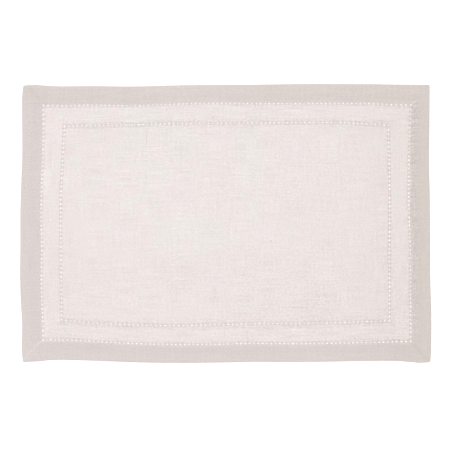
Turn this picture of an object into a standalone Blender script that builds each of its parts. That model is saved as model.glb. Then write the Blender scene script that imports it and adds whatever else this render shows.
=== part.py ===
"""A hemstitched linen placemat, lying flat on its back.

One cloth. Its border is folded to the back and is thicker than the single
layer inside it. Two drawn-thread rows of small holes run round it: one along
the inner edge of the hem, one about an inch further in. The four corners of
the hem are mitred.

The cloth is laid out true on a drawing board first, with straight edges and
rows. settle() then moves each point to where it lies, because the real edges
and rows wander by a few millimetres. Lengths are in millimetres on the board
and in metres on the finished mesh. The origin is under the middle of the mat.
"""

from collections import namedtuple

import bpy
from mathutils import Vector
from mathutils.geometry import delaunay_2d_cdt

MILLIMETRE = 0.001

# The mat on the drawing board
LENGTH = 483.0  # along X
WIDTH = 327.0  # along Y
HALF_LENGTH = LENGTH / 2
HALF_WIDTH = WIDTH / 2

# Middle lines of the two rows of holes, measured from the centre of the mat
OUTER_ROW_X = 217.5
OUTER_ROW_Y = 141.4
INNER_ROW_X = 194.0
INNER_ROW_Y = 118.0

# Heights of the upper face above the table
HEM_HEIGHT = 2.0  # the folded layers of the hem
FIELD_HEIGHT = 1.0  # the single layer
ROW_HEIGHT = 0.82  # the pressed-down threads between two holes
HOLE_BOTTOM = 0.25

# Across a row of holes, from its middle line
HOLE_REACH = 1.15  # from the middle of a hole to each of its four corners
HEM_FOOT = 1.35  # where the edge of the hem meets the row
HEM_BROW = 1.65  # where the top of the hem begins
LIP = 2.4  # where the row is level with the cloth beside it

# Mitre seams across the hem
MITRE_HALF = 1.4  # from the corner to the side of the seam, along an edge
MITRE_DEPTH = 0.35

# The four corners of the mat are drawn in a little where they are turned
CORNER_PULL = 0.4

# Section through the fold at the outer edge, from the table up
FoldStep = namedtuple("FoldStep", "inset height")
FOLD = (
    FoldStep(0.60, 0.00),
    FoldStep(0.12, 0.42),
    FoldStep(0.00, 1.00),
    FoldStep(0.22, 1.58),
    FoldStep(0.75, 1.90),
    FoldStep(1.60, HEM_HEIGHT),
)

# Spaces between neighbouring holes, counted from corner hole to corner hole
Spaces = namedtuple("Spaces", "left right top bottom")
OUTER_SPACES = Spaces(left=55, right=57, top=84, bottom=85)
INNER_SPACES = Spaces(left=45, right=46, top=74, bottom=73)

# How far each line wanders outward, at a place along its side. edge is the
# fold, outer and inner are the two rows of holes.
Wander = namedtuple("Wander", "place edge outer inner")
LEFT_SIDE = (
    Wander(-163.5, -1.9, -1.2, 0.5),
    Wander(-151.0, -0.5, -1.2, 0.5),
    Wander(-125.0, -0.7, -1.1, 0.5),
    Wander(-95.0, 0.4, 0.2, 0.5),
    Wander(-65.0, 1.3, 0.7, 0.7),
    Wander(-30.0, 1.1, 0.2, 1.1),
    Wander(10.0, 1.4, 0.9, 1.5),
    Wander(45.0, 0.5, 0.5, 0.7),
    Wander(80.0, -0.8, -0.9, -1.2),
    Wander(115.0, -0.8, -1.6, -3.0),
    Wander(150.0, -0.9, -1.9, -3.0),
    Wander(163.5, -2.7, -1.9, -3.0),
)
RIGHT_SIDE = (
    Wander(-163.5, 0.3, 1.3, -0.5),
    Wander(-151.0, 1.3, 1.3, -0.5),
    Wander(-110.0, 1.5, 1.0, -0.5),
    Wander(-70.0, 0.3, 1.0, -0.3),
    Wander(-35.0, 0.2, 0.8, -0.7),
    Wander(0.0, 0.0, -0.4, -0.1),
    Wander(35.0, -0.3, -0.9, -0.2),
    Wander(75.0, -1.2, -0.8, -0.7),
    Wander(110.0, -0.8, 0.0, -1.6),
    Wander(140.0, -0.3, 1.5, -1.6),
    Wander(163.5, -0.3, 1.9, -1.6),
)
TOP_SIDE = (
    Wander(-241.5, -1.2, -1.6, -3.1),
    Wander(-228.0, 0.2, -1.6, -3.1),
    Wander(-205.0, -1.4, -2.3, -3.1),
    Wander(-160.0, -1.3, -1.6, -2.7),
    Wander(-110.0, -1.7, -1.9, -1.4),
    Wander(-65.0, -0.6, -0.4, 0.0),
    Wander(-15.0, 0.2, 0.9, 0.5),
    Wander(35.0, 0.2, 0.3, 0.9),
    Wander(85.0, 1.1, 0.4, 1.1),
    Wander(135.0, 1.2, 0.5, 1.2),
    Wander(175.0, 1.0, 0.1, -0.6),
    Wander(205.0, 0.5, -1.1, -3.3),
    Wander(241.5, 0.2, -0.5, -3.5),
)
BOTTOM_SIDE = (
    Wander(-241.5, 0.5, -3.5, -4.7),
    Wander(-228.0, 0.0, -3.5, -4.7),
    Wander(-203.0, -2.0, -3.5, -4.7),
    Wander(-170.0, -1.5, -2.7, -1.3),
    Wander(-130.0, -0.1, -0.3, 1.1),
    Wander(-95.0, 0.9, 1.1, 2.6),
    Wander(-60.0, 1.6, 1.9, 2.9),
    Wander(-15.0, 1.2, 1.7, 2.0),
    Wander(35.0, 0.3, 0.6, 0.8),
    Wander(85.0, 0.5, 0.9, 0.3),
    Wander(130.0, -0.1, 0.3, -0.6),
    Wander(175.0, -0.9, -0.7, -2.2),
    Wander(205.0, -0.6, -1.5, -3.4),
    Wander(228.0, 1.0, -1.9, -3.4),
    Wander(241.5, 0.8, -1.9, -3.4),
)

# Points along the edges, measured from the middle of a side. The last two
# stand close to the corner, to carry its small ears and the mitre.
LONG_STEP = 22.0
SHORT_STEP = 18.0
NEAR_CORNER = 10.0


def wander(side, line, place):
    """Outward offset of a line at a place, on a smooth curve through the table."""
    place = min(max(place, side[0].place), side[-1].place)
    last = len(side) - 1
    at = max(i for i in range(last) if side[i].place <= place)

    def value(i):
        return getattr(side[i], line)

    def slope(i):
        a, b = max(i - 1, 0), min(i + 1, last)
        return (value(b) - value(a)) / (side[b].place - side[a].place)

    gap = side[at + 1].place - side[at].place
    t = (place - side[at].place) / gap
    start = (1 + 2 * t) * (1 - t) ** 2 * value(at) + t * (1 - t) ** 2 * gap * slope(at)
    end = t * t * (3 - 2 * t) * value(at + 1) - t * t * (1 - t) * gap * slope(at + 1)
    return start + end


def between(side, across, place, inner_row, outer_row, edge):
    """Outward offset at a distance across from the centre, blended line to line."""
    across = min(across, edge)
    if across <= inner_row:
        return across / inner_row * wander(side, "inner", place)
    if across <= outer_row:
        share = (across - inner_row) / (outer_row - inner_row)
        first, second = "inner", "outer"
    else:
        share = (across - outer_row) / (edge - outer_row)
        first, second = "outer", "edge"
    return (1 - share) * wander(side, first, place) + share * wander(side, second, place)


def settle(x, y):
    """Where a point of the drawing board lies on the table."""
    side_x = RIGHT_SIDE if x > 0 else LEFT_SIDE
    side_y = TOP_SIDE if y > 0 else BOTTOM_SIDE
    dx = between(side_x, abs(x), y, INNER_ROW_X, OUTER_ROW_X, HALF_LENGTH)
    dy = between(side_y, abs(y), x, INNER_ROW_Y, OUTER_ROW_Y, HALF_WIDTH)
    return (x + (dx if x > 0 else -dx), y + (dy if y > 0 else -dy))


def stations(half, step, near):
    """Places along a side, the corners left out, as shares of its half length."""
    count = int((half - 1.5 * near[0]) // step)
    places = [i * step for i in range(-count, count + 1)]
    ends = [half - d for d in near]
    return [p / half for p in [-e for e in reversed(ends)] + places + ends]


def rectangle(half_x, half_y, near, pull=0.0):
    """A closed loop of points round a rectangle, and the places of its corners."""
    along_x = stations(half_x, LONG_STEP, near)
    along_y = stations(half_y, SHORT_STEP, near)
    sides = (
        [(t * half_x, -half_y) for t in along_x],
        [(half_x, t * half_y) for t in along_y],
        [(-t * half_x, half_y) for t in along_x],
        [(-half_x, -t * half_y) for t in along_y],
    )
    turns = ((-1, -1), (1, -1), (1, 1), (-1, 1))
    loop, corners = [], []
    for (turn_x, turn_y), side in zip(turns, sides):
        corners.append(len(loop))
        loop.append((turn_x * (half_x - pull), turn_y * (half_y - pull)))
        loop.extend(side)
    return loop, corners


def hole_places(row_x, row_y, spaces):
    """Middles of all holes of one row, each corner hole once."""
    places = []
    for i in range(spaces.bottom):
        places.append((-row_x + 2 * row_x * i / spaces.bottom, -row_y))
    for i in range(spaces.right):
        places.append((row_x, -row_y + 2 * row_y * i / spaces.right))
    for i in range(spaces.top):
        places.append((row_x - 2 * row_x * i / spaces.top, row_y))
    for i in range(spaces.left):
        places.append((-row_x, row_y - 2 * row_y * i / spaces.left))
    return places


class Board:
    """Points and lines of one face, laid out flat before it is divided into triangles."""

    def __init__(self):
        self.points = []
        self.heights = []
        self.lines = []

    def point(self, x, y, height):
        self.points.append(Vector((x, y)))
        self.heights.append(height)
        return len(self.points) - 1

    def ring(self, loop, heights):
        marks = [self.point(x, y, h) for (x, y), h in zip(loop, heights)]
        self.lines.extend(zip(marks, marks[1:] + marks[:1]))
        return marks

    def hole(self, x, y):
        """A small four-cornered pit, with its deepest point in the middle."""
        tips = ((1, 0), (0, 1), (-1, 0), (0, -1))
        loop = [(x + HOLE_REACH * a, y + HOLE_REACH * b) for a, b in tips]
        self.ring(loop, [ROW_HEIGHT] * 4)
        self.point(x, y, HOLE_BOTTOM)

    def grid(self, half_x, half_y, step, height):
        """Loose points that keep the triangles of a wide level face even."""
        nx, ny = int(half_x // step), int(half_y // step)
        for i in range(-nx, nx + 1):
            for j in range(-ny, ny + 1):
                self.point(i * step, j * step, height)

    def triangles(self):
        """Points as (x, y, height) and triangles between them."""
        found = delaunay_2d_cdt(self.points, self.lines, [], 1, 0.0001)
        spots, faces, sources = found[0], found[2], found[3]
        high = [self.heights[source[0]] for source in sources]
        return [(p.x, p.y, h) for p, h in zip(spots, high)], faces


def upper_face(rim, corners):
    """The face that shows: hem, the two rows and the field."""
    board = Board()
    heights = [HEM_HEIGHT] * len(rim)
    for c in corners:
        heights[c] -= MITRE_DEPTH / 2
    outside = board.ring(rim, heights)

    brow, turns = rectangle(OUTER_ROW_X + HEM_BROW, OUTER_ROW_Y + HEM_BROW, (MITRE_HALF,))
    heights = [HEM_HEIGHT] * len(brow)
    for c in turns:
        heights[c] -= MITRE_DEPTH
    inside = board.ring(brow, heights)
    for c, turn in zip(corners, turns):
        for step in (-1, 0, 1):
            outer = outside[(c + step) % len(outside)]
            inner = inside[(turn + step) % len(inside)]
            board.lines.append((outer, inner))

    levels = (
        (OUTER_ROW_X + HEM_FOOT, OUTER_ROW_Y + HEM_FOOT, ROW_HEIGHT),
        (OUTER_ROW_X - LIP, OUTER_ROW_Y - LIP, FIELD_HEIGHT),
        (INNER_ROW_X + LIP, INNER_ROW_Y + LIP, FIELD_HEIGHT),
        (INNER_ROW_X - LIP, INNER_ROW_Y - LIP, FIELD_HEIGHT),
    )
    for half_x, half_y, height in levels:
        loop, _ = rectangle(half_x, half_y, (NEAR_CORNER,))
        board.ring(loop, [height] * len(loop))
    for x, y in hole_places(OUTER_ROW_X, OUTER_ROW_Y, OUTER_SPACES):
        board.hole(x, y)
    for x, y in hole_places(INNER_ROW_X, INNER_ROW_Y, INNER_SPACES):
        board.hole(x, y)
    board.grid(INNER_ROW_X - 3 * LIP, INNER_ROW_Y - 3 * LIP, 36.0, FIELD_HEIGHT)
    return board.triangles()


def lower_face(rim):
    """The flat back, which rests on the table."""
    board = Board()
    board.ring(rim, [0.0] * len(rim))
    board.grid(HALF_LENGTH - NEAR_CORNER, HALF_WIDTH - NEAR_CORNER, 72.0, 0.0)
    return board.triangles()


def build_cloth():
    """All points and faces of the closed cloth, in metres, centred on its outline."""
    points, faces, known = [], [], {}

    def put(x, y, height):
        key = (round(x, 3), round(y, 3), round(height, 3))
        if key not in known:
            known[key] = len(points)
            points.append((x, y, height))
        return known[key]

    def add(spots, triangles, flip=False):
        marks = [put(*spot) for spot in spots]
        for a, b, c in triangles:
            corner = [marks[a], marks[b], marks[c]]
            faces.append(corner[::-1] if flip else corner)

    rims = []
    for step in FOLD:
        near = (NEAR_CORNER, MITRE_HALF)
        half_x, half_y = HALF_LENGTH - step.inset, HALF_WIDTH - step.inset
        loop, corners = rectangle(half_x, half_y, near, CORNER_PULL)
        rims.append([(x, y, step.height) for x, y in loop])
    for c in corners:
        x, y, height = rims[-1][c]
        rims[-1][c] = (x, y, height - MITRE_DEPTH / 2)

    top = [(x, y) for x, y, _ in rims[-1]]
    bottom = [(x, y) for x, y, _ in rims[0]]
    add(*upper_face(top, corners))
    add(*lower_face(bottom), flip=True)
    for low, high in zip(rims, rims[1:]):
        below = [put(*p) for p in low]
        above = [put(*p) for p in high]
        for i in range(len(low)):
            j = (i + 1) % len(low)
            faces.append([below[i], below[j], above[j], above[i]])

    laid = [settle(x, y) + (height,) for x, y, height in points]
    middle_x = (max(p[0] for p in laid) + min(p[0] for p in laid)) / 2
    middle_y = (max(p[1] for p in laid) + min(p[1] for p in laid)) / 2
    metres = [
        ((x - middle_x) * MILLIMETRE, (y - middle_y) * MILLIMETRE, z * MILLIMETRE)
        for x, y, z in laid
    ]
    return metres, faces


def linen():
    """Pale natural linen, woven and unpolished."""
    material = bpy.data.materials.new("linen")
    material.use_nodes = True
    shader = material.node_tree.nodes["Principled BSDF"]
    shader.inputs["Base Color"].default_value = (0.80, 0.72, 0.69, 1.0)
    shader.inputs["Roughness"].default_value = 0.92
    shader.inputs["Metallic"].default_value = 0.0
    return material


def main():
    for thing in list(bpy.data.objects):
        bpy.data.objects.remove(thing, do_unlink=True)
    points, faces = build_cloth()
    mesh = bpy.data.meshes.new("cloth")
    mesh.from_pydata(points, [], faces)
    mesh.validate()
    mesh.materials.append(linen())
    mesh.shade_smooth()
    mesh.set_sharp_from_angle(angle=0.6)
    cloth = bpy.data.objects.new("cloth", mesh)
    bpy.context.scene.collection.objects.link(cloth)


main()
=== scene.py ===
"""The looks of the hemstitched linen placemat.

The mat is one thin sheet, folded as its maker folds it: out to the edge, round it, back
underneath to the outer row of holes, and turned in. Where threads were drawn out it has
real holes. The threads between them are drawn together into bars, and sewing thread
runs along both sides.

The cloth is laid out true on a drawing board, in millimetres, and lay() puts each point
where it lies on the table, in metres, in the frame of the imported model.
"""

import random
from collections import namedtuple
from functools import partialmethod
from math import cos, exp, hypot, pi, radians, sin, sqrt

import bpy
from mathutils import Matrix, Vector, noise
from mathutils.geometry import delaunay_2d_cdt


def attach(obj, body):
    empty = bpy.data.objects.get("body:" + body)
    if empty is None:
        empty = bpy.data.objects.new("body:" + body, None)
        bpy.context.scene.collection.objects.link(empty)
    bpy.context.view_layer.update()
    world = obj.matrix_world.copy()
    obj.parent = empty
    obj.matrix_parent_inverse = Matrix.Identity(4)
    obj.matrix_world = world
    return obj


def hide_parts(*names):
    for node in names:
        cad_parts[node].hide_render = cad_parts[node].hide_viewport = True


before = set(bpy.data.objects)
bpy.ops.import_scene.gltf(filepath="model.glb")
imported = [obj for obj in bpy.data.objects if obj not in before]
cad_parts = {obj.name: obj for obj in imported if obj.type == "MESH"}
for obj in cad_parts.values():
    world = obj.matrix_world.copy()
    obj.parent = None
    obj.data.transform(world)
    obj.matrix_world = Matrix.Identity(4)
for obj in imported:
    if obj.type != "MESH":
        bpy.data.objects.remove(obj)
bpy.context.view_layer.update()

MM = 0.001  # a millimetre, in metres


def table(kind, *rows):
    return tuple(kind(*row) for row in rows)


# The mat on the drawing board
HALF_X = 483 / 2  # along X
HALF_Y = 327 / 2  # along Y
CORNER_PULL = 0.4  # how far each corner is drawn in

# The two rows of holes: their middle lines, and for each side its spaces between holes,
# half the size of a hole, how solid its bars are, and where its holes differ in size
Part = namedtuple("Part", "spaces along across bars stretches")
Row = namedtuple("Row", "half_x half_y parts")
OUTER_PARTS = {
    "left": Part(55, 1.28, 1.14, 0.64, ()),
    "right": Part(57, 1.10, 0.98, 0.53, (
        (-88, -57, 0.79), (-57, -28, 0.84), (-3, 28, 1.25), (28, 85, 1.15),
        (85, 113, 0.93), (113, 140, 0.85),
    )),
    "top": Part(84, 1.26, 0.91, 0.18, ((-216, -176, 1.08),)),
    "bottom": Part(85, 1.32, 0.94, 0.26, ((-88, -42, 1.08), (42, 88, 1.06), (130, 174, 0.94))),
}
INNER_PARTS = {
    "left": Part(45, 1.31, 1.07, 0.48, ((-117, -71, 0.92), (70, 117, 0.92))),
    "right": Part(46, 1.26, 1.05, 0.42, (
        (-117, -94, 0.86), (-72, -24, 0.85), (-24, -2, 1.14), (47, 70, 0.93), (94, 117, 0.88),
    )),
    "top": Part(74, 1.20, 0.90, 0, ((-58, 20, 0.87),)),
    "bottom": Part(73, 1.19, 0.90, 0.1, ((0, 38, 1.12), (78, 116, 0.87))),
}
OUTER = Row(217.5, 141.4, OUTER_PARTS)
INNER = Row(194, 118, INNER_PARTS)
HEM_X = HALF_X - OUTER.half_x
HEM_Y = HALF_Y - OUTER.half_y

# How far the edge and each row wander outward at a place along their side
Wander = namedtuple("Wander", "place edge outer inner")
LEFT_SIDE = table(
    Wander,
    (-163.5, -1.6, -1.2, 0.5), (-151, -0.3, -1.2, 0.5), (-125, -0.7, -1.1, 0.5),
    (-95, 0.9, 0.2, 0.5), (-65, 1.7, 0.7, 0.7), (-30, 1.4, 0.2, 1.1), (10, 1.4, 0.9, 1.5),
    (45, 0.5, 0.5, 0.7), (80, -0.8, -0.9, -1.2), (115, -0.8, -1.6, -3),
    (150, -0.7, -1.9, -3), (163.5, -2.1, -1.9, -3),
)
RIGHT_SIDE = table(
    Wander,
    (-163.5, 0.3, 1.3, -0.5), (-151, 1.3, 1.3, -0.5), (-110, 1.5, 1, -0.5),
    (-70, 0.3, 1, -0.3), (-35, 0.2, 0.8, -0.7), (0, 0, -0.4, -0.1),
    (35, -0.3, -0.9, -0.2), (75, -1.2, -0.8, -0.7), (110, -0.8, 0, -1.6),
    (140, -0.6, 1.5, -1.6), (163.5, -0.5, 1.9, -1.6),
)
TOP_SIDE = table(
    Wander,
    (-241.5, -0.6, -1.6, -3.1), (-228, 0.2, -1.6, -3.1), (-205, -1.4, -2.3, -3.1),
    (-160, -1.3, -1.6, -2.7), (-110, -1.7, -1.9, -1.4), (-65, -0.6, -0.4, 0),
    (-15, 0.2, 0.9, 0.5), (35, 0.4, 0.3, 0.9), (85, 1.1, 0.4, 1.1), (135, 1.2, 0.5, 1.2),
    (175, 1, 0.1, -0.6), (205, 0.5, -1.1, -3.3), (241.5, 0.2, -0.5, -3.5),
)
BOTTOM_SIDE = table(
    Wander,
    (-241.5, 0.5, -3.5, -4.7), (-228, 0, -3.5, -4.7), (-203, -2, -3.5, -4.7),
    (-170, -1.5, -2.7, -1.3), (-130, -0.1, -0.3, 1.1), (-95, 1.1, 1.1, 2.6),
    (-60, 1.6, 1.9, 2.9), (-15, 1.2, 1.7, 2), (35, 0.3, 0.6, 0.8), (85, 0.5, 0.9, 0.3),
    (130, -0.1, 0.3, -0.6), (175, -0.9, -0.7, -2.2), (205, -0.6, -1.5, -3.4),
    (228, 1.4, -1.9, -3.4), (241.5, 0.7, -1.9, -3.4),
)

# The sheet and the height of its middle surface
THICK = 0.42
BAR_THICK = 0.16  # the web that holds the threads of a bar
BACK_HEIGHT = 0.22  # underside of the hem
TURN_IN_HEIGHT = 0.66
FRONT_OVER_TWO = 1.30  # front of the hem over the back alone
FRONT_OVER_THREE = 1.48  # and over the turned-in edge
FRONT_AT_STITCHES = 1.34  # and where it is sewn down
ROW_HEIGHT = 0.86
FIELD_HEIGHT = 0.40
RAW_EDGE_INSET = 10.5  # of the turned-in edge from the fold
BACK_REACH = 1.9  # of the back from the outer row
MITRE_TROUGH, MITRE_HALF = 0.16, 1.6
# How far each corner's seam bows away from the end of the mat, and how dark it is
Mitre = namedtuple("Mitre", "bow tone")
MITRES = {
    (-1, -1): Mitre(-1.4, -0.22),
    (1, -1): Mitre(0.8, 0.2),
    (1, 1): Mitre(0, 0),
    (-1, 1): Mitre(2.4, 0.16),
}

# ---- laying out ----


def smooth(value):
    """0 below 0, 1 above 1 and soft between."""
    value = min(max(value, 0), 1)
    return value * value * (3 - 2 * value)


def mix(a, b, share):
    return a + share * (b - a)


def rise(value, start, length):
    """0 up to a start, and 1 from a length beyond it."""
    return smooth((value - start) / length)


def fall(value, end, length):
    """1 up to a length before an end, and 0 from there."""
    return smooth((end - value) / length)


def wander(side, line, place):
    """Outward offset of a line at a place, smooth from row to row of the table."""
    place = min(max(place, side[0].place), side[-1].place)
    last = len(side) - 1
    at = max(i for i in range(last) if side[i].place <= place)

    def value(i):
        return getattr(side[i], line)

    def slope(i):
        a, b = max(i - 1, 0), min(i + 1, last)
        return (value(b) - value(a)) / (side[b].place - side[a].place)

    gap = side[at + 1].place - side[at].place
    t = (place - side[at].place) / gap
    start = (1 + 2 * t) * (1 - t) ** 2 * value(at) + t * (1 - t) ** 2 * gap * slope(at)
    end = t * t * (3 - 2 * t) * value(at + 1) - t * t * (1 - t) * gap * slope(at + 1)
    return start + end


def between(side, across, place, stops):
    """Outward offset at a distance across from the centre."""
    inside, start = 0, 0
    for line, stop in zip(("inner", "outer", "edge"), stops):
        offset = wander(side, line, place)
        if across <= stop:
            share = (across - start) / (stop - start)
            return (1 - share) * inside + share * offset
        inside, start = offset, stop
    return inside


def settle(x, y):
    """Where a point of the drawing board lies on the table."""
    side_x = RIGHT_SIDE if x > 0 else LEFT_SIDE
    side_y = TOP_SIDE if y > 0 else BOTTOM_SIDE
    dx = between(side_x, abs(x), y, (INNER.half_x, OUTER.half_x, HALF_X))
    dy = between(side_y, abs(y), x, (INNER.half_y, OUTER.half_y, HALF_Y))
    return (x + dx if x > 0 else x - dx), (y + dy if y > 0 else y - dy)


def outward(x, y, row):
    """How far a point lies outside a row."""
    return max(abs(x) - row.half_x, abs(y) - row.half_y)


def nearest_side(x, y, row):
    """Name of the side of a row that a point is nearest to."""
    if abs(x) - row.half_x > abs(y) - row.half_y:
        return "right" if x > 0 else "left"
    return "top" if y > 0 else "bottom"


def phase(x, y, row):
    """Place between two holes of the nearest side of a row, from 0 to 1."""
    name = nearest_side(x, y, row)
    share = y / row.half_y if name in ("left", "right") else x / row.half_x
    return (share + 1) / 2 * row.parts[name].spaces % 1


def from_fold(x, y):
    """Distance inward from the fold."""
    return min(HALF_X - abs(x), HALF_Y - abs(y))


def mitre_of(x, y):
    return MITRES[(1 if x > 0 else -1, 1 if y > 0 else -1)]


def bow(mitre, share):
    """How far a mitre bows aside, at a share of its way in."""
    return mitre.bow * 4 * share * (1 - share)


def from_mitre(x, y):
    """Distance from the seam of the nearest mitre."""
    deep_x, deep_y = HALF_X - abs(x), HALF_Y - abs(y)
    skew = (deep_x * HEM_Y - deep_y * HEM_X) / hypot(HEM_X, HEM_Y)
    share = min((deep_x + deep_y) / (HEM_X + HEM_Y), 1)
    return abs(skew - bow(mitre_of(x, y), share))


# Soft waves: their height, their length along X and Y, and their seed
Wave = namedtuple("Wave", "height length_x length_y seed")
RIPPLES = table(Wave, (0.13, 58, 46, 1.7), (0.04, 17, 21, 8.3))
LIFT = Wave(0.55, 75, 75, 4.2)
LIFT_REACH = 30


def wave_at(x, y, wave):
    place = Vector((x / wave.length_x, y / wave.length_y, wave.seed))
    return wave.height * noise.noise(place)


def lift(x, y):
    """How far the edge of the mat lies off the table."""
    return fall(from_fold(x, y), LIFT_REACH, LIFT_REACH) * max(wave_at(x, y, LIFT), 0)


def ripple(x, y):
    return sum(wave_at(x, y, wave) for wave in RIPPLES)


# Where each change in the height of the front starts or ends, and how long it is
HEM_START = 1.2
TO_HEM = (HEM_START, 1.6)
TO_STITCHES = (7, 4.4)
RAW_EDGE_STEP = 3
HEM_RIPPLE, RIPPLING = 0.5, (0, 4)
TROUGH = (0, 3)
SAG = (3, 45)  # this and the next go inward
LOOSE = (1, 12)
# The cloth dips at holes, rises at bars and lies higher along the inner row
SWING, SWING_REACH = 0.07, 2.6
RIDGE, RIDGE_HALF = 0.12, 4


def hem_height(x, y, out):
    deep = from_fold(x, y)
    stack = rise(deep, RAW_EDGE_INSET - RAW_EDGE_STEP / 2, RAW_EDGE_STEP)
    top = mix(FRONT_OVER_TWO, FRONT_OVER_THREE, stack)
    top += HEM_RIPPLE * ripple(x, y) * rise(deep, *RIPPLING)
    beside_mitre = fall(from_mitre(x, y), MITRE_HALF, MITRE_HALF)
    top -= MITRE_TROUGH * beside_mitre * rise(deep, *TROUGH)
    top = mix(top, FRONT_AT_STITCHES, fall(out, *TO_STITCHES))
    return mix(ROW_HEIGHT, top, rise(out, *TO_HEM))


def field_height(x, y, out):
    height = mix(ROW_HEIGHT, FIELD_HEIGHT, rise(-out, *SAG))
    across = outward(x, y, INNER)
    for row, off in ((OUTER, out), (INNER, across)):
        swing = cos(2 * pi * phase(x, y, row))
        height -= SWING * swing * exp(-abs(off) / SWING_REACH)
    height += RIDGE * exp(-((across / RIDGE_HALF) ** 2))
    return height + rise(-out, *LOOSE) * ripple(x, y)


def front_height(x, y):
    out = outward(x, y, OUTER)
    return hem_height(x, y, out) if out > HEM_START else field_height(x, y, out)


# ---- tone ----

# How solid the linen looks: 0 is one open layer, 1 is cloth folded double
# The tone on this scale is painted light: the open layer painted paler with the white floor's
# light shown up through it, more layers and packed threads darker where they hold it back
TWO_LAYERS = 0.965
THREE_LAYERS = 1.03
# Tones of the threads on that scale, painted paler than the folded cloth: painted light shown
# through them that offsets the shade on and between them, most on the inner row
OUTER_THREADS = 0.28
INNER_THREADS = 0.16
# How solid a row makes the cloth beside it, where that ends and fades, the same for its
# bars, and how far outward of the row the first zone lies
Beside = namedtuple("Beside", "along along_end along_fade bar_end bar_fade aside")
BESIDE = {
    "left": Beside(0.02, 3, 2, 3.1, 2.1, 0),
    "right": Beside(0.02, 3, 2, 3.1, 2.1, 0),
    "top": Beside(0.25, 5.2, 3.2, 2.9, 1.9, 0.45),
    "bottom": Beside(0.30, 5.4, 3.4, 2.9, 1.9, 0.45),
}
BESIDE_LOOSE = Beside(0.7, 3.4, 1.7, 2.9, 1.9, 0)  # over loose threads
LOOSE_STRETCH = (-121, -96.5)  # of the top side of the inner row
# Tones between the rows, where the hem is sewn down, over its raw edge and at the
# mitres, and where they start or end and fade
BAND_TONE, BAND = -0.03, (0, 2)
# The hem is painted paler where it is sewn down by the row: partly its own paler tone there,
# partly painted light that offsets the shade where it drops to the row
SEWN_TONE, SEWN = -0.25, (3.8, 2.2)
RAW_EDGE_FADE = 1.6
BESIDE_MITRE, MITRE_RIM = (2.08, MITRE_HALF), (0, 6)

# How much the threads differ in tone
LIVELY_OPEN, LIVELY_SOLID = 0.82, 0.54
LIVELY_TOP = 0.08  # more at the top edge, and less at the bottom
# How much more between the two rows and in the right end of the hem, and where
LIVELY_BAND, INNER_LIMIT, OUTER_LIMIT = 0.1, (0, 3), (0.5, 1.5)
LIVELY_HEM = 0.95
LIVELY_X = ((217, 2.5), (228.5, 6))
LIVELY_Y = ((-142, 16), (156, 7))

# The single layer grows paler to the left and darker to the bottom
PALER_LEFT, LEFT_PART = -0.055, (50, 130)
DARKER_BELOW, LOWER_PART = 0.075, (-5, 50)
# Soft patches, paler below zero and darker above it
Patch = namedtuple("Patch", "x y half_x half_y tone")
PATCH_RIM = 1.5  # where a patch has faded out, in half sizes
PATCHES = table(
    Patch,
    (106, 20, 36, 100, 0.055), (104, -98, 26, 24, 0.15), (0, 52, 16, 36, 0.035),
    (-54, -60, 24, 20, 0.07), (30, -96, 34, 18, 0.04), (-110, 54, 40, 24, -0.05),
    (206, 14, 8, 98, -0.08), (158, 130, 34, 9, -0.08), (46, 130, 22, 9, 0.035),
    (-2, -129, 22, 8, -0.05), (95, -129, 26, 8, 0.03), (-158, 130, 36, 9, -0.055),
    (-207, 78, 9, 60, -0.06), (-172, -129, 26, 8, 0.07),
)
HEM_PATCHES = table(
    Patch,
    (-221, -10, 6, 130, -0.045), (221, -10, 6, 130, 0.03), (-45, 150, 84, 14, -0.03),
    (45, -152, 34, 14, 0.03), (165, -152, 30, 14, -0.04), (196, 152, 40, 16, -0.075),
    (-229, 152, 16, 14, 0.08),
)
# Where the linen has greener blotches, and how close together
GREENER_PARTS = table(
    Patch,
    (-80, 94, 58, 42, 1), (-46, -14, 50, 26, 0.82), (30, 86, 18, 58, 1),
    (18, 131, 36, 12, 0.9), (-120, 131, 90, 12, 0.7), (-207, 76, 12, 56, 0.6),
    (-104, 72, 40, 60, 0.8), (-130, 70, 66, 70, 0.5),
)
BLOTCHES = Wave(1.5, 15, 12, 2.6)
GREENER_LEAN = 1.25
BLOTCH_EDGE = (0.55, 0.35)


def within(x, y, patch):
    far = hypot((x - patch.x) / patch.half_x, (y - patch.y) / patch.half_y)
    return fall(far, PATCH_RIM, 1)


def patchy(x, y, patches):
    return sum(patch.tone * within(x, y, patch) for patch in patches)


def unevenness(x, y):
    tone = PALER_LEFT * fall(x, *LEFT_PART) + DARKER_BELOW * fall(y, *LOWER_PART)
    return tone + patchy(x, y, PATCHES)


def greenness(x, y):
    """How green the blotches of the linen are."""
    lean = max(part.tone * within(x, y, part) for part in GREENER_PARTS)
    return rise(wave_at(x, y, BLOTCHES) + GREENER_LEAN * lean, *BLOTCH_EDGE)


def in_zone(place, start, end):
    return rise(place, *start) * fall(place, *end)


def liveliness(x, y):
    lively = mix(LIVELY_OPEN, LIVELY_SOLID, max(solidity(x, y), 0))
    lively *= 1 + LIVELY_TOP * y / HALF_Y
    in_band = rise(outward(x, y, INNER), *INNER_LIMIT) * fall(outward(x, y, OUTER), *OUTER_LIMIT)
    in_hem = in_zone(x, *LIVELY_X) * in_zone(y, *LIVELY_Y)
    return lively + LIVELY_BAND * in_band + LIVELY_HEM * in_hem


def packed(x, y, row):
    """How solid a row makes the cloth beside it."""
    name = nearest_side(x, y, row)
    beside = BESIDE[name]
    if row is INNER and y > 0 and LOOSE_STRETCH[0] < x < LOOSE_STRETCH[1]:
        beside = BESIDE_LOOSE
    out = outward(x, y, row)
    along = fall(abs(out - beside.aside), beside.along_end, beside.along_fade)
    bar = max(0, 1 - 4 * abs(phase(x, y, row) - 0.5))
    bar *= fall(abs(out), beside.bar_end, beside.bar_fade)
    return beside.along * along + row.parts[name].bars * bar


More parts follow.
